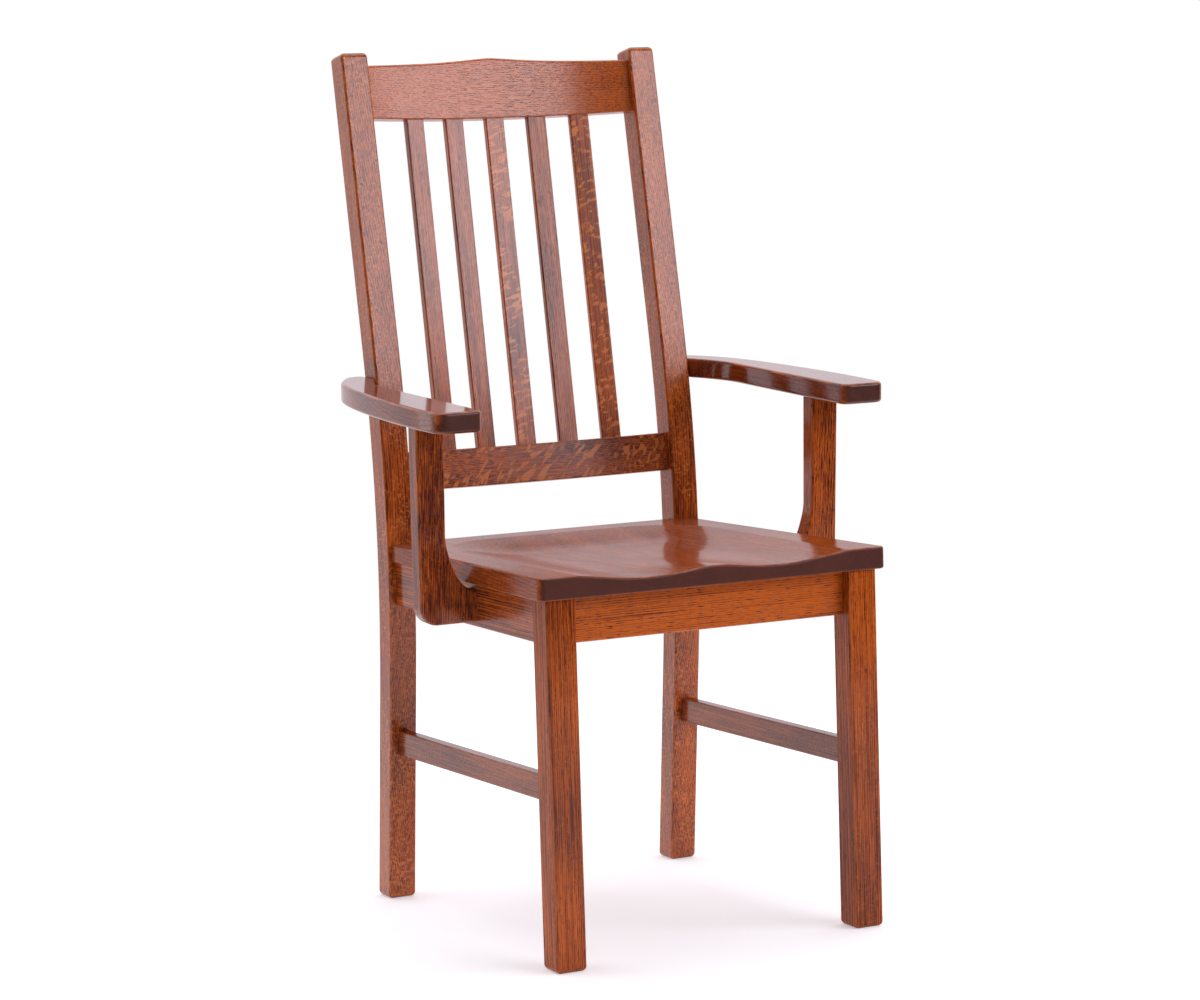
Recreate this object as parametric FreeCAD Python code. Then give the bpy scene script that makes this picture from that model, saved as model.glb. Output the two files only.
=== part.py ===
"""Oak armchair: scooped plank seat, raked slatted back, flat curved arms on bracket supports.

Millimetres, +Z up, +Y to the back, and +X to the right as seen from in front.
The chair is laid out from the front face of the front legs (y = 0).  At the end it is moved so
that the origin is on the floor, under the middle of its box.
Every board is its own solid, joined as in a real chair: aprons, rails and stretchers have tenons
in mortises, slats stand in slots, and dowels and screws hold the arms, the blocks and the seat.
"""
import FreeCAD, Part
import math
import os

# ---------------------------------------------------------------- driving dimensions
SEAT_TOP = 460.5            # front rim of the seat above the floor
SEAT_FALL = 5.0             # the rim falls this much to the back
SEAT_THICK = 26.5           # at the front
SEAT_FRONT_HALF = 230.0     # half width of the seat at its front edge
SEAT_REAR_HALF = 216.0      # half width where it meets the back posts
SEAT_FRONT_Y = -6.0
SEAT_REAR_Y = 459.0         # rear edge, between the posts
SEAT_CORNER = 8.0
SEAT_BOARDS = 5
HOLLOW_HALF = 180.0         # the scooped part of the seat
HOLLOW_REAR_Y = 418.0
HOLLOW_SHOULDER = 92.0      # width of the slope inside its rim
HOLLOW_FRONT_DEPTH = 9.1
HOLLOW_REAR_GAIN = 3.4
RIDGE_HIGH = 6.4            # ridge between the thighs, at the front edge
RIDGE_WIDE = 31.0
RIDGE_LONG = 230.0

LEG = 38.0                  # square front leg
LEG_HALF_SPREAD = 219.0     # outer face of a front leg from the middle
POST_WIDTH = 36.0
POST_DEPTH = 36.0
POST_HALF_SPREAD = 220.7    # outer face of a back post from the middle
POST_TOP = 1068.0
POST_RAKE = 0.1815          # backward run per unit of height, above the arms
POST_SPLAY = 0.100          # backward run per unit of drop, below the seat
KNEE_Y = 427.8              # where the two straight front faces would cross
KNEE_Z = 491.6
BEND_REACH = 212.0          # from the knee to each end of the bend
POST_EASE = 3.0             # rounding of the long edges
END_EASE = 6.0              # rounding of the ends of legs and posts
BOARD_EASE = 1.5            # rounding of the edges of rails and aprons

APRON_BOTTOM = 380.0
APRON_THICK = 20.0
FRONT_APRON_Y = 16.5        # its front face, behind the front of the legs
SIDE_APRON_X = 211.5        # outer face from the middle
REAR_APRON_Y = 452.0
STRETCHER_BOTTOM = 194.5
STRETCHER_HIGH = 30.8
STRETCHER_THICK = 15.0
STRETCHER_X = (200.3, 202.7)  # middle at the front leg and at the back post
STRETCHER_DROP = 7.0        # it falls this much from the front leg to the back post

BACK_SLOPE = 0.159          # backward run of the back frame per unit of height
BACK_DATUM_Y = 461.6        # front face of the rails' ends at the height below
BACK_DATUM_Z = 567.0
RAIL_THICK = 20.0
RAIL_BOW = 26.0             # the rails bend back this far in the middle
LOWER_RAIL = (-47.2, 1.5)   # bottom and top, up the slope from the datum
CREST_BOTTOM = 423.2
# half of the crest's top edge, from the end to the middle: distance out, height up the slope
CREST_TOP = ((200.0, 490.0), (113.0, 494.2), (57.0, 497.4), (18.0, 500.6), (0.0, 501.6))
SLATS = 5
SLAT_PITCH = 58.2           # along the bow
SLAT_WIDTH = 26.0
SLAT_THICK = 9.5
SLAT_SETBACK = 2.0
SLOT_DEEP = 10.0            # a slat stands this far into each rail

ARM_THICK = 25.0
ARM_TOP = 651.0             # top face at ARM_TOP_Y
ARM_TOP_Y = 200.0
ARM_RISE = 0.045            # rise per unit of length to the back
ARM_FRONT_Y = 101.0
ARM_INNER = (240.5, 244.5)  # inner edge from the middle, at the front and where it turns in
ARM_TURN_Y = 371.0          # the inner edge turns in here to meet the post ...
ARM_MEET_Y = 461.0          # ... and touches its outer face from here back
ARM_NOSE_Y = 502.0          # rear end, just behind the post
ARM_NOSE_ROUND = 8.0
ARM_CORNER = 12.5           # inner front corner
# outer edge, from the front corner to the nose: distance out, distance back
ARM_OUTER = ((302.0, 119.0), (303.6, 170.0), (302.6, 230.0), (299.2, 290.0), (293.4, 350.0),
             (283.8, 410.0), (268.0, 460.0), (255.0, 483.0))
ARM_EASE = 4.0
SUPPORT_EASE = 3.0
SUPPORT_FRONT = -7.5        # front face of a support from ARM_TOP_Y, square to the arm
SUPPORT_THICK = 24.0
SUPPORT_DROP = 264.8        # bottom of a support below the top of the arm
SUPPORT_OUTER = (287.0, 284.2)  # outer edge at the arm and above the lower corner
SUPPORT_INNER = 250.5
SUPPORT_CORNER = 22.0
# the curved inner edge of the foot, down to the apron: distance out, drop below the arm's top
SUPPORT_HOOK = ((SUPPORT_INNER, 157.0), (246.2, 182.0), (241.0, 197.5), (233.2, 212.5),
                (225.5, 220.8), (SIDE_APRON_X, 227.0))

TENON_THICK = 9.0
TENON_LONG = 14.0
TENON_SHOULDER = 7.0        # above and below a tenon
GLUE_ROOM = 0.8             # a mortise is this much deeper than its tenon
HOLE_ROOM = 0.3             # clearance round a dowel or a screw
DOWEL = 8.0
DOWEL_LONG = 34.0
SCREW = 4.5
SCREW_HEAD = 9.0
SCREW_HEAD_HIGH = 2.6

# ---------------------------------------------------------------- worked out from them
SEAT_UNDER = SEAT_TOP - SEAT_THICK
POST_INNER = POST_HALF_SPREAD - POST_WIDTH
LEG_INNER = LEG_HALF_SPREAD - LEG
SIDE_APRON_INNER = SIDE_APRON_X - APRON_THICK
BACK_ANGLE = math.degrees(math.atan(BACK_SLOPE))
ARM_ANGLE = math.degrees(math.atan(ARM_RISE))
BOW_RADIUS = (POST_INNER ** 2 + RAIL_BOW ** 2) / (2 * RAIL_BOW)
BOW_CENTRE_Y = RAIL_BOW - BOW_RADIUS
SIDES = (("left", -1), ("right", 1))


# ---------------------------------------------------------------- helpers
def vec(x, y, z):
    return FreeCAD.Vector(x, y, z)


def spread(start, end, steps):
    return [start + (end - start) * i / steps for i in range(steps + 1)]


def box(x0, x1, y0, y1, z0, z1):
    return Part.makeBox(x1 - x0, y1 - y0, z1 - z0, vec(x0, y0, z0))


def line(a, b):
    return Part.LineSegment(a, b).toShape()


def arc(a, middle, b):
    return Part.Arc(a, middle, b).toShape()


def curve(points, *tangents):
    """Smooth curve through the points; tangents are the directions at its two ends."""
    spline = Part.BSplineCurve()
    if tangents:
        spline.interpolate(points, InitialTangent=tangents[0], FinalTangent=tangents[1])
    else:
        spline.interpolate(points)
    return spline.toShape()


def swept(edges, direction):
    """Solid swept from a closed outline of edges."""
    return Part.Face(Part.Wire(edges)).extrude(direction)


def swept_polygon(points, direction):
    return Part.Face(Part.makePolygon(points + points[:1])).extrude(direction)


def on_side(shape, side):
    """The piece for one side of the chair, from the piece drawn at positive x."""
    if side > 0:
        return shape
    return shape.mirror(vec(0, 0, 0), vec(1, 0, 0))


def both_sides(shapes):
    return [on_side(shape, side) for name, side in SIDES for shape in shapes]


def reach(edge):
    """Size of an edge's box along x, y and z."""
    b = edge.BoundBox
    return b.XLength, b.YLength, b.ZLength


def ease(shape, radius, wanted):
    """Round the edges for which wanted(edge) is true."""
    return shape.makeFillet(radius, [edge for edge in shape.Edges if wanted(edge)])


def ease_length(shape, radius, axis, least):
    """Round the edges that run at least this far along x (0), y (1) or z (2)."""
    return ease(shape, radius, lambda edge: reach(edge)[axis] > least)


def rod(radius, start, direction, length):
    return Part.makeCylinder(radius, length, start, direction)


def screw(under_head, direction, length):
    """Screw with a flat-bottomed head; under_head is the middle of the head's flat face."""
    point = 6.0
    head = rod(SCREW_HEAD / 2, under_head - direction * SCREW_HEAD_HIGH, direction, SCREW_HEAD_HIGH)
    shank = rod(SCREW / 2, under_head, direction, length - point)
    tip = Part.makeCone(SCREW / 2, 0.6, point, under_head + direction * (length - point), direction)
    return head.fuse([shank, tip]).removeSplitter()


def screw_room(under_head, direction, length, counterbore):
    """Hole for a screw, with a bore for its head of the given depth."""
    hole = rod(SCREW / 2 + HOLE_ROOM, under_head, direction, length + 1.0)
    bore = rod(SCREW_HEAD / 2 + 0.5, under_head, direction * -1, counterbore)
    return hole.fuse(bore)


def dowel(middle, direction):
    return rod(DOWEL / 2, middle - direction * (DOWEL_LONG / 2), direction, DOWEL_LONG)


def dowel_room(middle, direction):
    long = DOWEL_LONG + 2 * GLUE_ROOM
    return rod(DOWEL / 2 + HOLE_ROOM, middle - direction * (long / 2), direction, long)


# ---------------------------------------------------------------- back posts and front legs
def bend():
    """Ends, centre and radius of the bend in a post's front face."""
    rake, splay = math.atan(POST_RAKE), math.atan(POST_SPLAY)
    knee = vec(0, KNEE_Y, KNEE_Z)
    low = knee + vec(0, math.sin(splay), -math.cos(splay)) * BEND_REACH
    high = knee + vec(0, math.sin(rake), math.cos(rake)) * BEND_REACH
    inward = (low + high) * 0.5 - knee
    inward.normalize()
    turn = (rake + splay) / 2
    return low, high, knee + inward * (BEND_REACH / math.sin(turn)), BEND_REACH / math.tan(turn)


def post_face(z):
    """y of a post's front face at a height."""
    low, high, centre, radius = bend()
    if z < low.z:
        return KNEE_Y + POST_SPLAY * (KNEE_Z - z)
    if z > high.z:
        return KNEE_Y + POST_RAKE * (z - KNEE_Z)
    return centre.y - math.sqrt(radius ** 2 - (z - centre.z) ** 2)


def post_blank():
    """Right-hand post with sharp edges: two straight runs joined by one long bend."""
    low, high, centre, radius = bend()
    deep = POST_DEPTH
    rake, splay = math.atan(POST_RAKE), math.atan(POST_SPLAY)
    inward = ((low + high) * 0.5 - vec(0, KNEE_Y, KNEE_Z)).normalize()
    low_back = low + vec(0, math.cos(splay), math.sin(splay)) * deep
    high_back = high + vec(0, math.cos(rake), -math.sin(rake)) * deep
    floor = vec(0, post_face(0), 0)
    floor_back = floor + vec(0, deep / math.cos(splay), 0)
    top = vec(0, post_face(POST_TOP), POST_TOP)
    top_back = top + vec(0, math.cos(rake), -math.sin(rake)) * deep
    outline = [line(floor, low), arc(low, centre - inward * radius, high), line(high, top),
               line(top, top_back), line(top_back, high_back),
               arc(high_back, centre - inward * (radius - deep), low_back),
               line(low_back, floor_back), line(floor_back, floor)]
    post = swept(outline, vec(POST_WIDTH, 0, 0))
    return post.translated(vec(POST_INNER, 0, 0))


def made_post():
    post = post_blank()
    last = post.BoundBox.ZMax - 8.0
    post = ease(post, END_EASE, lambda edge: edge.BoundBox.ZMax < 0.01 or edge.BoundBox.ZMin > last)
    return ease_length(post, POST_EASE, 2, 100.0)


def made_leg():
    leg = box(LEG_INNER, LEG_HALF_SPREAD, 0, LEG, 0, SEAT_UNDER)
    leg = ease(leg, END_EASE, lambda edge: edge.BoundBox.ZMax < 0.01)
    return ease_length(leg, POST_EASE, 2, 100.0)


SEAT_POST_Y = min(post_face(SEAT_TOP), post_face(SEAT_UNDER))    # a post's front face at the seat


# ---------------------------------------------------------------- aprons and stretchers
def tongue(centre, x0, x1, y0, y1, bottom, top):
    """Tenon 9 thick; centre is its middle across, along whichever axis has no range given."""
    half = TENON_THICK / 2
    if x0 is None:
        x0, x1 = centre - half, centre + half
    if y0 is None:
        y0, y1 = centre - half, centre + half
    return box(x0, x1, y0, y1, bottom + TENON_SHOULDER, top - TENON_SHOULDER)


def front_apron_tenon(room=0.0):
    return tongue(FRONT_APRON_Y + APRON_THICK / 2, LEG_INNER - 5, LEG_INNER + TENON_LONG + room,
                  None, None, APRON_BOTTOM, SEAT_UNDER)


def rear_apron_tenon(room=0.0):
    return tongue(REAR_APRON_Y + APRON_THICK / 2, POST_INNER - 5, POST_INNER + TENON_LONG + room,
                  None, None, APRON_BOTTOM, SEAT_UNDER)


def side_apron_tenons(room=0.0):
    """The front one goes into the leg, the rear one into the post."""
    middle = SIDE_APRON_X - APRON_THICK / 2
    front = tongue(middle, None, None, LEG - TENON_LONG - room, LEG + 5, APRON_BOTTOM, SEAT_UNDER)
    rear = tongue(middle, None, None, SEAT_POST_Y - 10, SEAT_POST_Y + TENON_LONG + room,
                  APRON_BOTTOM, SEAT_UNDER)
    return front, rear


def stretcher_tenons(room=0.0):
    bottom = STRETCHER_BOTTOM
    front = tongue(STRETCHER_X[0], None, None, LEG - TENON_LONG - room, LEG + 5,
                   bottom, bottom + STRETCHER_HIGH)
    bottom = bottom - STRETCHER_DROP
    face = post_face(bottom + STRETCHER_HIGH / 2)
    rear = tongue(STRETCHER_X[1], None, None, face - 10, face + TENON_LONG + room,
                  bottom, bottom + STRETCHER_HIGH)
    return front, rear


def eased_below(apron, axis):
    """Round the lower edges of an apron that runs along the axis."""
    return ease(apron, BOARD_EASE,
                lambda edge: edge.BoundBox.ZMax < APRON_BOTTOM + 0.01 and reach(edge)[axis] > 100)


def cross_apron(half_length, front_y, end_tenon):
    """Apron between two legs or two posts."""
    board = box(-half_length, half_length, front_y, front_y + APRON_THICK, APRON_BOTTOM, SEAT_UNDER)
    return eased_below(board, 0).fuse(both_sides([end_tenon()]))


def made_side_apron(post):
    board = box(SIDE_APRON_INNER, SIDE_APRON_X, LEG, SEAT_POST_Y + 10, APRON_BOTTOM, SEAT_UNDER)
    board = eased_below(board, 1)
    room = post.translated(vec(0, -HOLE_ROOM, 0))
    return board.cut(room).fuse(side_apron_tenons())


def made_stretcher(post):
    """Thin rail that falls a little to the back; its top edges are softly rounded."""
    def end(y, x, bottom):
        half = STRETCHER_THICK / 2
        corners = [vec(x - half, y, bottom), vec(x + half, y, bottom),
                   vec(x + half, y, bottom + STRETCHER_HIGH), vec(x - half, y, bottom + STRETCHER_HIGH)]
        return Part.makePolygon(corners + corners[:1])

    face = post_face(STRETCHER_BOTTOM)
    beyond = 12.0
    share = (face + beyond - LEG) / (face - LEG)
    x_end = STRETCHER_X[0] + share * (STRETCHER_X[1] - STRETCHER_X[0])
    rail = Part.makeLoft([end(LEG, STRETCHER_X[0], STRETCHER_BOTTOM),
                          end(face + beyond, x_end, STRETCHER_BOTTOM - share * STRETCHER_DROP)], True, True)
    rail = ease_length(rail, 2.0, 1, 100.0)
    return rail.cut(post).fuse(stretcher_tenons())


# ---------------------------------------------------------------- seat
def rim_height(y):
    return SEAT_TOP - SEAT_FALL * (y - SEAT_FRONT_Y) / (SEAT_REAR_Y - SEAT_FRONT_Y)


def slope(t):
    """Depth of the hollow as a share of its full depth: 0 at its rim, 1 at the end of the slope."""
    if t < 0:
        return t
    if t > 1:
        return 1.0
    return (t * t * (3 - 2 * t) + t * (2 - t)) / 2


def seat_height(x, y):
    """Height of the scooped top; outside the hollow it runs above the flat rim."""
    out = max(0.0, 1 - (HOLLOW_HALF - abs(x)) / HOLLOW_SHOULDER)
    back = max(0.0, 1 - (HOLLOW_REAR_Y - y) / HOLLOW_SHOULDER)
    share = slope(1 - math.hypot(out, back))
    along = min(1.0, max(0.0, (y - SEAT_FRONT_Y) / RIDGE_LONG))
    depth = HOLLOW_FRONT_DEPTH + HOLLOW_REAR_GAIN * along * (2 - along)
    ridge = RIDGE_HIGH * math.exp(-0.5 * (x / RIDGE_WIDE) ** 2) * (1 - along * along * (3 - 2 * along))
    return rim_height(y) - depth * share + ridge


def hollow_tool():
    """Block above the scooped surface, a little larger than the seat all round."""
    beyond = 16.0
    half = SEAT_FRONT_HALF + beyond
    across = spread(-half, half, 36)
    along = spread(SEAT_FRONT_Y - beyond, SEAT_REAR_Y + beyond, 24)
    rows = [[vec(x, y, seat_height(x, y)) for y in along] for x in across]
    surface = Part.BSplineSurface()
    surface.interpolate(rows)
    return surface.toShape().extrude(vec(0, 0, 60))


def seat_blank():
    """Plank seat with rounded front corners, notched round the back posts."""
    notch_x, notch_y = POST_INNER - 0.5, SEAT_POST_Y - 0.5
    right = [(SEAT_FRONT_HALF, SEAT_FRONT_Y), (SEAT_REAR_HALF, notch_y),
             (notch_x, notch_y), (notch_x, SEAT_REAR_Y)]
    corners = [vec(x, y, SEAT_UNDER) for x, y in right] + [vec(-x, y, SEAT_UNDER) for x, y in right[::-1]]
    blank = swept_polygon(corners, vec(0, 0, SEAT_THICK + 10))
    near, far = SEAT_FRONT_Y - 20, SEAT_REAR_Y + 20
    above = swept_polygon([vec(-300, near, rim_height(near)), vec(-300, far, rim_height(far)),
                           vec(-300, far, SEAT_TOP + 40), vec(-300, near, SEAT_TOP + 40)], vec(600, 0, 0))
    blank = blank.cut(above)
    return ease(blank, SEAT_CORNER, lambda e: reach(e)[2] > 5 and e.BoundBox.YMax < 0)


def made_seat():
    """The boards of the seat, left to right, glued edge to edge."""
    seat = seat_blank().cut(hollow_tool())
    seat = ease(seat, 2.5, on_seat_rim)
    width = 2 * SEAT_FRONT_HALF / SEAT_BOARDS
    boards = []
    for i in range(SEAT_BOARDS):
        left = -SEAT_FRONT_HALF + i * width
        boards.append(seat.common(box(left, left + width, -50, 500, 400, 480)))
    return boards


def on_seat_rim(edge):
    """Top and bottom edges of the front and the sides."""
    b = edge.BoundBox
    middle = edge.valueAt((edge.FirstParameter + edge.LastParameter) / 2)
    outside = middle.y < 0.5 or abs(middle.x) > SEAT_REAR_HALF - 1
    return outside and b.ZLength < 12


# ---------------------------------------------------------------- back
def leaned(shape):
    """Move a piece drawn upright, with the rails' front corners on y = 0, into the sloping back."""
    shape = shape.translated(vec(0, BACK_DATUM_Y, BACK_DATUM_Z))
    shape.rotate(vec(0, BACK_DATUM_Y, BACK_DATUM_Z), vec(1, 0, 0), -BACK_ANGLE)
    return shape


def bow_y(x, behind=0.0):
    return BOW_CENTRE_Y + math.sqrt((BOW_RADIUS + behind) ** 2 - x * x)


def bowed_board(bottom, top):
    """Board bent to the bow, a little longer than the space between the posts."""
    end = POST_INNER + 6
    across = spread(-end, end, 8)
    front = [vec(x, bow_y(x), bottom) for x in across]
    back = [vec(x, bow_y(x, RAIL_THICK), bottom) for x in across]
    return swept([curve(front), line(front[-1], back[-1]), curve(back), line(back[0], front[0])],
                 vec(0, 0, top - bottom))


def between_posts(board):
    return board.common(box(-POST_INNER, POST_INNER, -50, 100, -200, 700))


def rail_tenon(bottom, top, room=0.0):
    return tongue(RAIL_THICK / 2, POST_INNER - 5, POST_INNER + TENON_LONG + room, None, None, bottom, top)


def slat(index, eased=True, room=0.0):
    """One slat of the back, 0 in the middle, standing square to the bow."""
    front = bow_y(0) + SLAT_SETBACK
    piece = box(-SLAT_WIDTH / 2, SLAT_WIDTH / 2, front, front + SLAT_THICK,
                LOWER_RAIL[1] - SLOT_DEEP - room, CREST_BOTTOM + SLOT_DEEP + room)
    if eased:
        piece = ease_length(piece, 1.8, 2, 100.0)
    piece.rotate(vec(0, BOW_CENTRE_Y, 0), vec(0, 0, 1), -math.degrees(index * SLAT_PITCH / BOW_RADIUS))
    return piece


def slat_range():
    half = SLATS // 2
    return range(-half, half + 1)


def made_lower_rail():
    rail = between_posts(ease_length(bowed_board(*LOWER_RAIL), BOARD_EASE, 0, 200.0))
    rail = rail.fuse(both_sides([rail_tenon(*LOWER_RAIL)]))
    return rail.cut([slat(i, False, GLUE_ROOM) for i in slat_range()])


def made_crest():
    """Crest rail: its top edge rises in two soft hollows to a low point in the middle."""
    highest = CREST_TOP[-1][1]
    half = [vec(x, -20, z) for x, z in CREST_TOP]
    points = [vec(-p.x, p.y, p.z) for p in half[:-1]] + half[::-1]
    far = half[0].x
    outline = [curve(points), line(points[-1], vec(far, -20, CREST_BOTTOM - 1)),
               line(vec(far, -20, CREST_BOTTOM - 1), vec(-far, -20, CREST_BOTTOM - 1)),
               line(vec(-far, -20, CREST_BOTTOM - 1), points[0])]
    crest = bowed_board(CREST_BOTTOM, highest + 5).common(swept(outline, vec(0, 100, 0)))
    crest = ease(crest, 2 * BOARD_EASE, lambda e: reach(e)[0] > 200 and e.BoundBox.ZMin > CREST_BOTTOM + 1)
    crest = ease(crest, BOARD_EASE, lambda e: reach(e)[0] > 200 and e.BoundBox.ZMax < CREST_BOTTOM + 1)
    crest = between_posts(crest).fuse(both_sides([rail_tenon(CREST_BOTTOM, CREST_TOP[0][1])]))
    return crest.cut([slat(i, False, GLUE_ROOM) for i in slat_range()])


# ---------------------------------------------------------------- arms and their supports
def arm_tilted(shape):
    """Pieces of the arm are drawn level, with the arm's top at its given height, then tilted."""
    shape = shape.copy()
    shape.rotate(vec(0, ARM_TOP_Y, ARM_TOP), vec(1, 0, 0), ARM_ANGLE)
    return shape


def arm_post_dowels(maker):
    level = ARM_TOP - ARM_THICK / 2
    return [arm_tilted(maker(vec(POST_HALF_SPREAD + 1, y, level), vec(1, 0, 0))) for y in (470.0, 485.0)]


def arm_support_dowels(maker):
    y = ARM_TOP_Y + SUPPORT_FRONT + SUPPORT_THICK / 2
    level = ARM_TOP - ARM_THICK - 2
    return [arm_tilted(maker(vec(x, y, level), vec(0, 0, 1))) for x in (260.0, 277.0)]


def made_arm():
    def at(x, y):
        return vec(x, y, ARM_TOP - ARM_THICK)

    inner_front, inner_turn = ARM_INNER
    front, corner = ARM_FRONT_Y, ARM_CORNER
    diagonal = corner * (1 - math.sqrt(0.5))
    round_diagonal = ARM_NOSE_ROUND * (1 - math.sqrt(0.5))
    meet, leave = at(POST_HALF_SPREAD, ARM_MEET_Y), at(POST_HALF_SPREAD, ARM_NOSE_Y - ARM_NOSE_ROUND)
    nose = at(POST_HALF_SPREAD + ARM_NOSE_ROUND, ARM_NOSE_Y)
    outer = [at(x, y) for x, y in ARM_OUTER]
    outer_front = at(ARM_OUTER[0][0] - 17, front)
    turn = at(inner_turn, ARM_TURN_Y)
    along = vec(inner_turn - inner_front, ARM_TURN_Y - front, 0)
    outline = [
        line(at(inner_front + corner, front), outer_front),
        curve([outer_front, at(ARM_OUTER[0][0] - 4.6, front + 5.4), outer[0]], vec(1, 0, 0), vec(0.06, 1, 0)),
        curve(outer + [nose], vec(0.06, 1, 0), vec(-1, 0, 0)),
        arc(nose, at(POST_HALF_SPREAD + round_diagonal, ARM_NOSE_Y - round_diagonal), leave),
        line(leave, meet),
        curve([meet, turn], vec(46, -90, 0), along * -1),
        line(turn, at(inner_front, front + corner)),
        arc(at(inner_front, front + corner), at(inner_front + diagonal, front + diagonal),
            at(inner_front + corner, front)),
    ]
    return swept(outline, vec(0, 0, ARM_THICK))


def made_support():
    """Bracket: a board that stands under the arm and hooks in to the side apron."""
    y = ARM_TOP_Y + SUPPORT_FRONT

    def at(x, drop):
        return vec(x, y, ARM_TOP - drop)

    bottom, corner = SUPPORT_DROP, SUPPORT_CORNER
    hook = [at(x, drop) for x, drop in SUPPORT_HOOK]
    outer_top, outer_low = at(SUPPORT_OUTER[0], ARM_THICK), at(SUPPORT_OUTER[1], bottom - corner)
    diagonal = corner * (1 - math.sqrt(0.5))
    outline = [
        line(at(SUPPORT_INNER, ARM_THICK), hook[0]),
        curve(hook, vec(0, 0, -1), vec(-1, 0, -0.25)),
        line(hook[-1], at(SIDE_APRON_X, bottom)),
        line(at(SIDE_APRON_X, bottom), at(SUPPORT_OUTER[1] - corner, bottom)),
        arc(at(SUPPORT_OUTER[1] - corner, bottom),
            at(SUPPORT_OUTER[1] - diagonal, bottom - diagonal), outer_low),
        line(outer_low, outer_top),
        line(outer_top, at(SUPPORT_INNER, ARM_THICK)),
    ]
    return swept(outline, vec(0, SUPPORT_THICK, 0))


def on_arm_edge(edge):
    """Top and bottom edges of the arm, except along the post."""
    b = edge.BoundBox
    return b.ZLength < 0.01 and not (b.XMax < POST_HALF_SPREAD + 0.01)


def on_support_edge(edge):
    """Long edges of the support's two faces, except against the arm and the apron."""
    b = edge.BoundBox
    at_arm = b.ZMin > ARM_TOP - ARM_THICK - 0.01
    at_apron = b.XMax < SIDE_APRON_X + 0.01
    return b.YLength < 0.01 and not at_arm and not at_apron


# ---------------------------------------------------------------- corner blocks and screws
BLOCK_LEG = 62.0            # along each apron
BLOCK_HIGH = 34.0
BLOCK_SCREW_OUT = 43.5      # a block's screws stand this far from its corner
BLOCK_SCREW_LONG = 27.0
SEAT_SCREW_LONG = 36.0
SEAT_SCREW_OUT = 24.0       # from both aprons
FOOT_SCREW_LONG = 34.0


def corner_frame(rear):
    """Corner between a side apron and the front or rear apron, and the way into the frame."""
    if rear:
        return vec(SIDE_APRON_INNER, REAR_APRON_Y, SEAT_UNDER - BLOCK_HIGH), -1
    return vec(SIDE_APRON_INNER, FRONT_APRON_Y + APRON_THICK, SEAT_UNDER - BLOCK_HIGH), 1


def block_screws(rear, maker):
    """Two screws through each block, one into each apron."""
    corner, inward = corner_frame(rear)
    bite = 13.5             # wood of the block under each head
    into_side = corner + vec(-bite, inward * BLOCK_SCREW_OUT, BLOCK_HIGH * 0.6)
    into_cross = corner + vec(-BLOCK_SCREW_OUT, inward * bite, BLOCK_HIGH * 0.4)
    return [maker(into_side, vec(1, 0, 0), BLOCK_SCREW_LONG),
            maker(into_cross, vec(0, -inward, 0), BLOCK_SCREW_LONG)]


def seat_screw(rear, maker):
    corner, inward = corner_frame(rear)
    out = SEAT_SCREW_OUT
    return maker(corner + vec(-out, inward * out, 9.0), vec(0, 0, 1), SEAT_SCREW_LONG)


def foot_screws(maker):
    """Screws from inside the side apron into the foot of an arm support."""
    return [maker(vec(SIDE_APRON_INNER + 6, 204.0 + lean, z), vec(1, 0, 0), FOOT_SCREW_LONG)
            for z, lean in ((398.0, 3.0), (413.0, 2.0))]


def hole(under_head, direction, length):
    return screw_room(under_head, direction, length, 40.0)


def apron_hole(under_head, direction, length):
    return screw_room(under_head, direction, length, 7.0)


def made_block(rear):
    corner, inward = corner_frame(rear)
    points = [corner, corner + vec(0, inward * BLOCK_LEG, 0), corner + vec(-BLOCK_LEG, 0, 0)]
    block = swept_polygon(points, vec(0, 0, BLOCK_HIGH))
    if rear:
        block = block.cut(box(POST_INNER - 1, 230, SEAT_POST_Y - 1, 500, 300, 500))
    else:
        block = block.cut(box(LEG_INNER - 1, 230, -1, LEG + 1, 300, 500))
    return block.cut(block_screws(rear, hole) + [seat_screw(rear, hole)])


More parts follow.
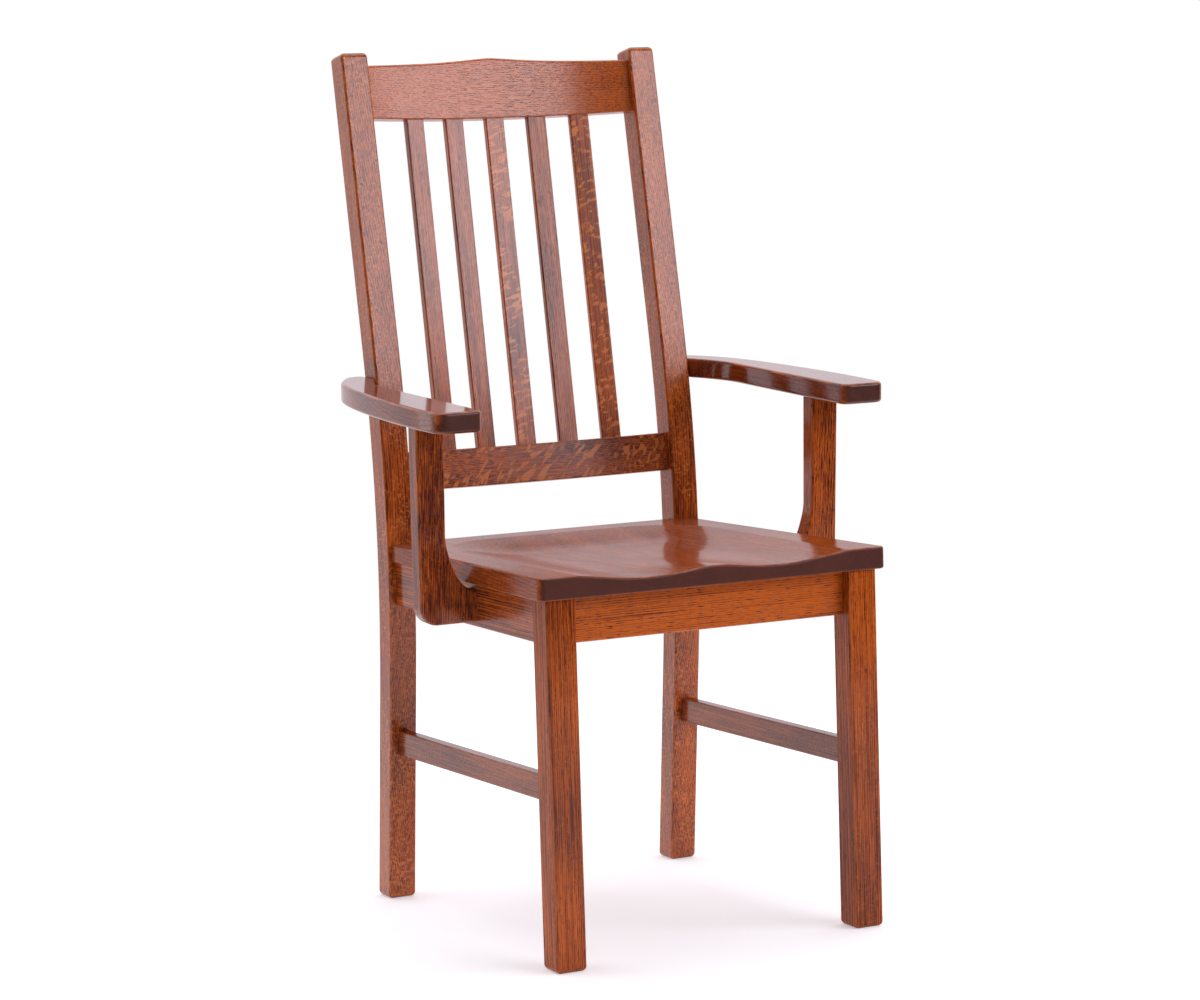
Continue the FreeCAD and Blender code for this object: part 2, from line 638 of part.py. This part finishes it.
# ---------------------------------------------------------------- the chair
def build():
    """All the pieces by name, in the chair's own frame."""
    pieces = {}
    post, leg = made_post(), made_leg()
    side_apron, stretcher = made_side_apron(post), made_stretcher(post)
    arm, support = made_arm(), made_support()
    arm = arm_tilted(ease(arm, ARM_EASE, on_arm_edge))
    support = arm_tilted(ease(support, SUPPORT_EASE, on_support_edge))

    rail_tenons = [leaned(rail_tenon(*LOWER_RAIL, GLUE_ROOM)),
                   leaned(rail_tenon(CREST_BOTTOM, CREST_TOP[0][1], GLUE_ROOM))]
    post = post.cut(rail_tenons + [rear_apron_tenon(GLUE_ROOM), side_apron_tenons(GLUE_ROOM)[1],
                                   stretcher_tenons(GLUE_ROOM)[1]] + arm_post_dowels(dowel_room))
    leg = leg.cut([front_apron_tenon(GLUE_ROOM), side_apron_tenons(GLUE_ROOM)[0],
                   stretcher_tenons(GLUE_ROOM)[0]])
    blocks = {"front": made_block(False), "rear": made_block(True)}
    bores = [shape for rear in (False, True) for shape in block_screws(rear, hole)]
    side_apron = side_apron.cut(bores + foot_screws(apron_hole))
    support = support.cut(arm_support_dowels(dowel_room) + foot_screws(hole))
    arm = arm.cut(arm_support_dowels(dowel_room) + arm_post_dowels(dowel_room))

    for name, side in SIDES:
        pieces["front_leg_" + name] = on_side(leg, side)
        pieces["back_post_" + name] = on_side(post, side)
        pieces["side_apron_" + name] = on_side(side_apron, side)
        pieces["side_stretcher_" + name] = on_side(stretcher, side)
        pieces["arm_" + name] = on_side(arm, side)
        pieces["arm_support_" + name] = on_side(support, side)
        for place, block in blocks.items():
            pieces["corner_block_" + place + "_" + name] = on_side(block, side)

    cross_bores = both_sides(bores)
    pieces["front_apron"] = cross_apron(LEG_INNER, FRONT_APRON_Y, front_apron_tenon).cut(cross_bores)
    pieces["rear_apron"] = cross_apron(POST_INNER, REAR_APRON_Y, rear_apron_tenon).cut(cross_bores)
    seat_bores = both_sides([seat_screw(False, hole), seat_screw(True, hole)])
    for i, board in enumerate(made_seat()):
        pieces["seat_board_%d" % (i + 1)] = board.cut(seat_bores)

    pieces["lower_back_rail"] = leaned(made_lower_rail())
    pieces["crest_rail"] = leaned(made_crest())
    for i in slat_range():
        pieces["back_slat_%d" % (i + SLATS // 2 + 1)] = leaned(slat(i))

    fasteners = {
        "block_screws": block_screws(False, screw) + block_screws(True, screw),
        "seat_screws": [seat_screw(False, screw), seat_screw(True, screw)],
        "arm_support_screws": foot_screws(screw),
        "arm_support_dowels": arm_support_dowels(dowel),
        "arm_post_dowels": arm_post_dowels(dowel),
    }
    for name, shapes in fasteners.items():
        pieces[name] = Part.makeCompound(both_sides(shapes))
    return pieces


def export(pieces):
    """Centre the chair on its box, floor at zero, and write one file for each piece."""
    whole = Part.makeCompound(list(pieces.values())).optimalBoundingBox(False)
    shift = vec(0, -(whole.YMin + whole.YMax) / 2, 0)
    os.makedirs("parts", exist_ok=True)
    for name, shape in pieces.items():
        shape.translated(shift).exportStep("parts/" + name + ".step")


export(build())
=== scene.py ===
"""Oak armchair: stained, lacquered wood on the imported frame.  Metres, in the frame of the part."""
import bpy
import math
from mathutils import Matrix, Vector


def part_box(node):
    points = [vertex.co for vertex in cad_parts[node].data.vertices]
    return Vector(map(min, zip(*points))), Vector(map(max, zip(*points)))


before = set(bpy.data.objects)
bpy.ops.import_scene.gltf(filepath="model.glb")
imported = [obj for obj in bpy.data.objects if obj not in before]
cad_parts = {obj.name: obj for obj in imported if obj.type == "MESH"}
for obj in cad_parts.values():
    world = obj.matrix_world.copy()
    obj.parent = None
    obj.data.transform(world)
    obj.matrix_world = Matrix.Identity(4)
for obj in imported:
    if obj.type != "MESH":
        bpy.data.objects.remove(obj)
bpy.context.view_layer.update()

# ---------------------------------------------------------------- camera
CAMERA_PLACE = (-1.9446, -3.8398, 0.9806)
CAMERA_YAW = 26.863          # degrees from +Y towards +X
CAMERA_DOWN = 6.258
CAMERA_ROLL = -1.749
CAMERA_LENS = 105.25         # mm, on a frame this wide:
CAMERA_FRAME = 36.0
CAMERA_REACH = 200

# ---------------------------------------------------------------- wood, colours in linear light
PALE = (0.520, 0.104, 0.010)     # latewood under the stain
DEEP = (0.080, 0.010, 0.005)     # earlywood, where the stain sinks in
PORE = (0.012, 0.003, 0.002)
FLECK = (0.640, 0.185, 0.035)    # rays take little stain
WORN_AND_HIGHLIGHT = (0.460, 0.100, 0.014)     # thin stain on rubbed rounded edges, and a painted highlight along them
END_GRAIN = (0.038, 0.006, 0.004)

# sizes of the pattern: features per metre across the board, across it again, and along the grain
SWAY_SCALE = (12, 12, 2)
PORE_SCALE = (1500, 1500, 75)
FIBRE_SCALE = (850, 850, 8)
CLOUD_SCALE = (25, 25, 5)
PATCH_SCALE = (30, 30, 14)       # areas with rays and areas without
RUB_AND_HIGHLIGHT_SCALE = (60, 60, 22)
SMEAR_SCALE = (45, 45, 12)
RAYS_ROUND = 420                 # rays per metre round the trunk
RAYS_DEEP = 42                   # and along its radius

RING = 0.0022                    # width of one year's growth
SWAY = 0.006                     # how far the rings wander in all
SWAY_OTHER = (7, 3, 5)           # a second, unrelated wander
SPRING_RISE = (0.0, 0.10)        # spring wood, as shares of a year: it starts here ...
SPRING_FALL = (0.55, 0.20)       # ... and fades from the second to the first
SPRING_DARK = 0.10               # darkening in the spring wood of every year
SPRING_VARY = 0.30               # and the most that a year adds of its own
PORE_GATE = 0.615                # the noise above this is a pore
PORE_GATE_SPRING = 0.11          # lower by this in the spring wood
PORE_EDGE = 0.08
PORE_DEPTH = 0.80
PORE_LOST_IN_RAYS = 0.6
RAY_EDGE = (0.54, 0.60)
PATCH_EDGE = (0.34, 0.50)
FIBRE_DARK = 2.0
FIBRE_MIDDLE = 0.49
CLOUD_DARK = 0.9
STAIN = 0.35                     # share of the deep colour in plain wood
FIBRE_RELIEF = 0.25

# ---------------------------------------------------------------- surface of a board
SEED_STEP = 0.731                # metres along the trunk from one seed to the next
EDGE_RANGE = (0.06, 0.22)
RUB_AND_HIGHLIGHT_RANGE = (0.40, 0.62)
END_RANGE = (0.55, 0.95)
WORN_AND_HIGHLIGHT_SHARE = 0.75
END_SHARE = 0.85
WOOD_ROUGH = 0.34
WOOD_ROUGH_SMEAR = 0.16
WOOD_ROUGH_PORES = 0.20
COAT_ROUGH_SMEAR = 0.10
COAT_ROUGH_END = 0.25            # end grain drinks the lacquer and stays dull
WOOD_BUMP = (0.55, 0.00025)      # strength and height
COAT_BUMP = (0.22, 0.00020)
WOOD_IOR = 1.45
COAT_IOR = 1.5


class Net:
    """Short ways to write a node tree."""

    def __init__(self, tree):
        self.tree = tree

    def put(self, socket, value):
        if isinstance(value, bpy.types.NodeSocket):
            self.tree.links.new(value, socket)
        elif isinstance(value, (tuple, list)) and len(value) == 3 and len(socket.default_value) == 4:
            socket.default_value = (*value, 1.0)
        else:
            socket.default_value = value

    def node(self, kind, inputs=(), **settings):
        node = self.tree.nodes.new(kind)
        for name, value in settings.items():
            setattr(node, name, value)
        for name, value in dict(inputs).items():
            self.put(node.inputs[name], value)
        return node

    def math(self, operation, a, b=0.0, c=0.0):
        return self.node("ShaderNodeMath", {0: a, 1: b, 2: c}, operation=operation).outputs[0]

    def times(self, a, b):
        return self.math("MULTIPLY", a, b)

    def plus(self, a, b):
        return self.math("ADD", a, b)

    def line(self, value, slope, start):
        """slope * value + start"""
        return self.math("MULTIPLY_ADD", value, slope, start)

    def swing(self, value, gain, middle=0.5):
        """gain times the distance of value from its middle"""
        return self.line(value, gain, -middle * gain)

    def vector(self, operation, a, b=(0, 0, 0)):
        node = self.node("ShaderNodeVectorMath", {0: a, 1: b}, operation=operation)
        return node.outputs["Value"] if operation == "LENGTH" else node.outputs["Vector"]

    def scaled(self, vector, scale):
        return self.vector("MULTIPLY", vector, scale)

    def noise(self, vector, detail, distort=0.0):
        return self.node("ShaderNodeTexNoise", {"Vector": vector, "Scale": 1.0, "Detail": detail,
                                                "Roughness": 0.5, "Distortion": distort}).outputs["Fac"]

    def ramp(self, value, low, high, out_low=0.0, out_high=1.0):
        """Smooth step from out_low at low to out_high at high."""
        return self.node("ShaderNodeMapRange", {"Value": value, "From Min": low, "From Max": high,
                                                "To Min": out_low, "To Max": out_high},
                         interpolation_type="SMOOTHSTEP").outputs["Result"]

    def mix(self, share, a, b):
        node = self.node("ShaderNodeMix", data_type="RGBA", blend_type="MIX")
        self.put(node.inputs["Factor"], share)
        self.put(node.inputs["A"], a)
        self.put(node.inputs["B"], b)
        return node.outputs["Result"]

    def bump(self, height, strength, distance):
        return self.node("ShaderNodeBump", {"Height": height, "Strength": strength,
                                            "Distance": distance}).outputs[0]

    def parts(self, vector):
        return self.node("ShaderNodeSeparateXYZ", {0: vector}).outputs

    def joined(self, x, y, z):
        return self.node("ShaderNodeCombineXYZ", {0: x, 1: y, 2: z}).outputs[0]


def oak_group():
    """Solid oak: rings round a pith, pores, rays and fibres.

    Place is in the board's own axes, in metres, with z along the grain.
    """
    tree = bpy.data.node_groups.new("oak_solid", "ShaderNodeTree")
    for name, kind in (("Place", "NodeSocketVector"), ("Pith", "NodeSocketVector"),
                       ("Slant", "NodeSocketFloat"), ("Rays", "NodeSocketFloat"),
                       ("Tone", "NodeSocketFloat"), ("Figure", "NodeSocketFloat"),
                       ("Ray Pitch", "NodeSocketFloat")):
        tree.interface.new_socket(name, in_out="INPUT", socket_type=kind)
    for name, kind in (("Color", "NodeSocketColor"), ("Relief", "NodeSocketFloat"),
                       ("Pores", "NodeSocketFloat")):
        tree.interface.new_socket(name, in_out="OUTPUT", socket_type=kind)
    net = Net(tree)
    given = net.node("NodeGroupInput").outputs
    place = given["Place"]

    # the trunk isn't a true cylinder: rings wander slowly along and across it
    sway_x = net.noise(net.scaled(place, SWAY_SCALE), detail=2)
    sway_y = net.noise(net.vector("ADD", net.scaled(place, SWAY_SCALE), SWAY_OTHER), detail=2)
    sway = net.joined(net.swing(sway_x, SWAY), net.swing(sway_y, SWAY), 0.0)
    from_pith = net.vector("SUBTRACT", net.vector("ADD", place, sway), given["Pith"])
    x, y, z = net.parts(from_pith)
    radius = net.vector("LENGTH", net.joined(x, y, 0.0))
    years = net.math("DIVIDE", radius, RING)
    year = net.math("FLOOR", years)
    part = net.math("FRACT", years)
    spring = net.times(net.ramp(part, *SPRING_RISE), net.ramp(part, *SPRING_FALL))
    own = net.node("ShaderNodeTexWhiteNoise", {"W": year}, noise_dimensions="1D").outputs["Value"]

    # open pores, long thin dashes, crowded in the spring wood
    pore_field = net.noise(net.scaled(place, PORE_SCALE), detail=1.5)
    gate = net.line(spring, -PORE_GATE_SPRING, PORE_GATE)
    pores = net.ramp(net.math("SUBTRACT", pore_field, gate), 0.0, PORE_EDGE)
    pores = net.times(pores, given["Figure"])

    # rays: thin round the trunk, deep along its radius, a few millimetres along the grain
    turn = net.times(net.math("ARCTAN2", y, x), net.vector("LENGTH", given["Pith"]))
    along = net.line(radius, given["Slant"], z)
    ray_place = net.joined(net.times(turn, RAYS_ROUND), net.times(radius, RAYS_DEEP),
                           net.times(along, given["Ray Pitch"]))
    ray_field = net.noise(ray_place, detail=1.5, distort=0.3)
    patches = net.noise(net.scaled(place, PATCH_SCALE), detail=1)
    rays = net.times(net.ramp(ray_field, *RAY_EDGE), net.ramp(patches, *PATCH_EDGE))
    rays = net.times(rays, given["Rays"])

    fibres = net.noise(net.scaled(place, FIBRE_SCALE), detail=3)
    cloud = net.noise(net.scaled(place, CLOUD_SCALE), detail=2)

    # share of the deep colour
    share = net.times(spring, net.line(own, SPRING_VARY, SPRING_DARK))
    share = net.plus(share, net.swing(fibres, FIBRE_DARK, FIBRE_MIDDLE))
    share = net.plus(share, net.swing(cloud, CLOUD_DARK))
    share = net.line(share, given["Figure"], STAIN)
    share = net.plus(share, given["Tone"])
    color = net.mix(net.ramp(share, 0.0, 1.0), PALE, DEEP)
    color = net.mix(rays, color, FLECK)
    color = net.mix(net.times(pores, net.line(rays, -PORE_LOST_IN_RAYS, PORE_DEPTH)), color, PORE)

    out = net.node("NodeGroupOutput").inputs
    net.put(out["Color"], color)
    net.put(out["Relief"], net.math("SUBTRACT", net.times(fibres, FIBRE_RELIEF), pores))
    net.put(out["Pores"], pores)
    return tree


OAK = oak_group()


def oak(name, grain, across, pith, seed, rays=0.12, ray_pitch=270.0, slant=0.0, tone=0.0, figure=1.0,
        gloss=0.9, polish=0.12):
    """Lacquered oak for one board.

    grain and across are the board's own directions; pith is how far the middle of the trunk lies
    from the board along across and along the third direction; seed picks another stretch of the trunk.
    rays is how strong the fleck is, ray_pitch how short along the grain, and slant how far it leans;
    tone darkens the stain and figure is the contrast; gloss is the lacquer's weight and polish the
    roughness of its smoothest places.
    """
    grain = Vector(grain).normalized()
    across = Vector(across)
    across = (across - grain * across.dot(grain)).normalized()
    third = grain.cross(across)
    axes = Matrix((across, third, grain))
    turn = axes.to_euler()
    low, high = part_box(name)
    middle = (low + high) / 2
    shift = axes @ -middle

    material = bpy.data.materials.new("oak_" + name)
    material.use_nodes = True
    tree = material.node_tree
    tree.nodes.clear()
    net = Net(tree)
    coords = net.node("ShaderNodeTexCoord").outputs
    start = shift + Vector((0, 0, SEED_STEP * seed))
    place = net.node("ShaderNodeMapping", {"Vector": coords["Object"], "Rotation": turn,
                                           "Location": start}).outputs[0]
    wood = net.node("ShaderNodeGroup", node_tree=OAK)
    for socket, value in (("Place", place), ("Pith", (pith[0], pith[1], 0.0)), ("Slant", slant),
                          ("Rays", rays), ("Tone", tone), ("Figure", figure),
                          ("Ray Pitch", ray_pitch)):
        net.put(wood.inputs[socket], value)

    # a rounded edge faces between the board's own directions, so n * n * (1 - n * n) is large there
    normal = net.node("ShaderNodeMapping", {"Vector": coords["Normal"], "Rotation": turn}).outputs[0]
    facing = net.parts(normal)
    edges = []
    for part in (facing[0], facing[2]):
        square = net.times(part, part)
        edges.append(net.times(square, net.math("SUBTRACT", 1.0, square)))
    edge = net.ramp(net.math("MAXIMUM", *edges), *EDGE_RANGE)
    rub_and_highlight = net.noise(net.scaled(place, RUB_AND_HIGHLIGHT_SCALE), detail=3)
    # lighter colour on rounded edges where the noise allows: partly real rub-through wear, partly a
    # painted highlight along the edges
    wear_and_highlight = net.times(edge, net.ramp(rub_and_highlight, *RUB_AND_HIGHLIGHT_RANGE))
    end = net.ramp(net.math("ABSOLUTE", facing[2]), *END_RANGE)

    color = net.mix(net.times(wear_and_highlight, WORN_AND_HIGHLIGHT_SHARE), wood.outputs["Color"], WORN_AND_HIGHLIGHT)
    color = net.mix(net.times(end, END_SHARE), color, END_GRAIN)
    smear = net.noise(net.scaled(place, SMEAR_SCALE), detail=3)
    rough = net.plus(net.line(smear, WOOD_ROUGH_SMEAR, WOOD_ROUGH),
                     net.times(wood.outputs["Pores"], WOOD_ROUGH_PORES))
    coat_rough = net.plus(net.line(smear, COAT_ROUGH_SMEAR, polish), net.times(end, COAT_ROUGH_END))
    relief = wood.outputs["Relief"]
    shader = net.node("ShaderNodeBsdfPrincipled", {
        "Base Color": color, "Roughness": rough, "Normal": net.bump(relief, *WOOD_BUMP),
        "IOR": WOOD_IOR, "Specular IOR Level": 0.0, "Coat Weight": gloss, "Coat IOR": COAT_IOR,
        "Coat Roughness": coat_rough, "Coat Normal": net.bump(relief, *COAT_BUMP)})
    out = net.node("ShaderNodeOutputMaterial")
    net.put(out.inputs["Surface"], shader.outputs[0])
    return material


def finish_node(node, material):
    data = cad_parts[node].data
    data.materials.clear()
    data.materials.append(material)


def board(node, grain, across, pith, seed, **look):
    finish_node(node, oak(node, grain, across, pith, seed, **look))


# ---------------------------------------------------------------- boards
X = Vector((1, 0, 0))
Y = Vector((0, 1, 0))
Z = Vector((0, 0, 1))
BACK_TILT = math.radians(9.03)
BACK_UP = Vector((0, math.sin(BACK_TILT), math.cos(BACK_TILT)))
POST_UP = Vector((0, 0.075, 1))          # between the slopes of the bent post's two halves
ARM_ALONG = Vector((0, 1, 0.045))
SLATS = range(1, 6)
FIGURED_SLATS = (3, 5)                   # cut along the rays, so they show
GLOSSY_SLATS = (1, 2, 3)
SEAT_BOARDS = range(1, 6)
SUPPORT_TONE = {"left": 0.15, "right": -0.1}

for side, seed in (("left", 1), ("right", 11)):
    board("front_leg_" + side, Z, X, (0.12, 0.05), seed, tone=0.05, gloss=0.5)
    board("back_post_" + side, POST_UP, X, (0.09, 0.06), seed + 1, rays=0.50)
    board("side_apron_" + side, Y, Z, (0.09, 0.08), seed + 2, tone=0.1)
    board("side_stretcher_" + side, Y, Z, (0.10, 0.05), seed + 3, tone=0.25, figure=0.7)
    board("arm_" + side, ARM_ALONG, X, (0.12, 0.06), seed + 4, tone=0.32, figure=0.45,
          gloss=1.0, polish=0.03)
    board("arm_support_" + side, Z, X, (0.08, 0.07), seed + 5, tone=SUPPORT_TONE[side], figure=1.3)
board("front_apron", X, Z, (0.09, 0.07), 21, tone=-0.35, figure=1.2)
board("rear_apron", X, Z, (0.09, 0.07), 22)
board("crest_rail", X, BACK_UP, (0.16, 0.06), 23, tone=-0.25, gloss=1.0)
board("lower_back_rail", X, BACK_UP, (0.14, 0.01), 24, rays=0.8, ray_pitch=120.0, slant=0.9,
      tone=0.05, figure=1.2, gloss=0.8)
for i in SLATS:
    figured = i in FIGURED_SLATS
    board("back_slat_%d" % i, BACK_UP, X, (0.14, 0.005 if figured else 0.06), 30 + i,
          rays=0.8 if figured else 0.15, ray_pitch=190.0, slant=0.3, tone=0.05,
          gloss=1.0 if i in GLOSSY_SLATS else 0.8)
for i in SEAT_BOARDS:
    board("seat_board_%d" % i, Y, X, (0.10, 0.07), 40 + i, tone=0.22, figure=0.40, gloss=0.60)


# ---------------------------------------------------------------- hidden pieces
def plain_material(name):
    """A new material, its node helper and its shader."""
    material = bpy.data.materials.new(name)
    material.use_nodes = True
    net = Net(material.node_tree)
    shader = material.node_tree.nodes["Principled BSDF"]
    return material, net, shader


def plain_wood():
    """Bare hardwood of the hidden blocks and dowels."""
    light, dark = (0.52, 0.33, 0.17), (0.36, 0.20, 0.09)
    material, net, shader = plain_material("bare_hardwood")
    place = net.node("ShaderNodeTexCoord").outputs["Object"]
    fibres = net.noise(net.scaled(place, (40, 700, 700)), detail=3)
    net.put(shader.inputs["Base Color"], net.mix(net.ramp(fibres, 0.3, 0.7), light, dark))
    net.put(shader.inputs["Roughness"], net.line(fibres, 0.2, 0.55))
    net.put(shader.inputs["Normal"], net.bump(fibres, 0.4, 0.0003))
    return material


def plated_steel():
    """Zinc-plated screws."""
    bright, dull = (0.62, 0.62, 0.60), (0.44, 0.43, 0.40)
    material, net, shader = plain_material("zinc_plated_steel")
    place = net.node("ShaderNodeTexCoord").outputs["Object"]
    stain = net.noise(net.scaled(place, (500, 500, 500)), detail=3)
    net.put(shader.inputs["Base Color"], net.mix(stain, bright, dull))
    net.put(shader.inputs["Roughness"], net.line(stain, 0.25, 0.22))
    net.put(shader.inputs["Metallic"], 1.0)
    return material


bare = plain_wood()
steel = plated_steel()
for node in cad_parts:
    if node.startswith("corner_block") or node.endswith("dowels"):
        finish_node(node, bare)
    if node.endswith("screws"):
        finish_node(node, steel)


# ---------------------------------------------------------------- floor, light and camera
FLOOR_RADIUS = 2.2
FLOOR_SIDES = 96
FLOOR_COLOR = (0.80, 0.80, 0.81)
FLOOR_GLOW = 0.36                        # keeps the pale floor near the white behind it
KEY_COLOR = (0.98, 0.93, 1.0)
SKY_COLOR = (0.97, 0.93, 1.0)
WHITE = (1.0, 1.0, 1.0)


def floor():
    """Pale round floor under the chair."""
    mesh = bpy.data.meshes.new("floor")
    turns = [math.tau * i / FLOOR_SIDES for i in range(FLOOR_SIDES)]
    rim = [(FLOOR_RADIUS * math.cos(turn), FLOOR_RADIUS * math.sin(turn), 0) for turn in turns]
    mesh.from_pydata(rim, [], [tuple(range(FLOOR_SIDES))])
    disc = bpy.data.objects.new("floor", mesh)
    bpy.context.scene.collection.objects.link(disc)
    material, net, shader = plain_material("pale_floor")
    for socket, value in (("Base Color", FLOOR_COLOR), ("Roughness", 0.8), ("Specular IOR Level", 0.0),
                          ("Emission Color", WHITE), ("Emission Strength", FLOOR_GLOW)):
        net.put(shader.inputs[socket], value)
    mesh.materials.append(material)


def softbox(name, place, target, size, power, color=WHITE):
    """Rectangular light at place that faces target; size is its width and height."""
    data = bpy.data.lights.new(name, "AREA")
    data.shape = "RECTANGLE"
    data.size = size[0]
    data.size_y = size[1]
    data.energy = power
    data.color = color
    light = bpy.data.objects.new(name, data)
    light.location = place
    light.rotation_euler = (Vector(target) - Vector(place)).to_track_quat("-Z", "Y").to_euler()
    bpy.context.scene.collection.objects.link(light)


def sky():
    """White to the eye; as light it is bright behind the chair and dim in front of it."""
    world = bpy.data.worlds.new("studio")
    world.use_nodes = True
    net = Net(world.node_tree)
    toward = net.parts(net.node("ShaderNodeTexCoord").outputs["Generated"])
    rear = net.ramp(toward[1], -0.35, 0.45, 0.03, 1.0)
    high = net.ramp(toward[2], 0.05, 0.90, 0.0, 0.30)
    light = net.plus(rear, high)
    seen = net.node("ShaderNodeLightPath").outputs["Is Camera Ray"]
    back = world.node_tree.nodes["Background"]
    net.put(back.inputs["Color"], net.mix(seen, SKY_COLOR, WHITE))
    net.put(back.inputs["Strength"], net.line(seen, net.math("SUBTRACT", 1.0, light), light))
    bpy.context.scene.world = world


def camera():
    data = bpy.data.cameras.new("camera")
    data.lens = CAMERA_LENS
    data.sensor_width = CAMERA_FRAME
    data.clip_end = CAMERA_REACH
    eye = bpy.data.objects.new("camera", data)
    yaw, down, roll = (math.radians(a) for a in (CAMERA_YAW, CAMERA_DOWN, CAMERA_ROLL))
    ahead = Vector((math.sin(yaw) * math.cos(down), math.cos(yaw) * math.cos(down), -math.sin(down)))
    level = Vector((math.cos(yaw), -math.sin(yaw), 0))
    upward = level.cross(ahead)
    right = level * math.cos(roll) + upward * math.sin(roll)
    up = upward * math.cos(roll) - level * math.sin(roll)
    turn = Matrix((right, up, -ahead)).transposed()
    eye.matrix_world = Matrix.Translation(CAMERA_PLACE) @ turn.to_4x4()
    bpy.context.scene.collection.objects.link(eye)
    bpy.context.scene.camera = eye


floor()
sky()
softbox("key", (1.975, -2.914, 2.056), (-0.325, -0.314, 0.706), (3.1, 1.4), 82, KEY_COLOR)
softbox("left_wall", (-2.6, 2.4, 1.2), (0, 0, 0.6), (2.0, 2.0), 8)
softbox("top", (0.2, 0.2, 3.4), (0, 0, 0), (2.5, 2.5), 40)
camera()

scene = bpy.context.scene
scene.view_settings.view_transform = "Standard"
scene.view_settings.look = "None"
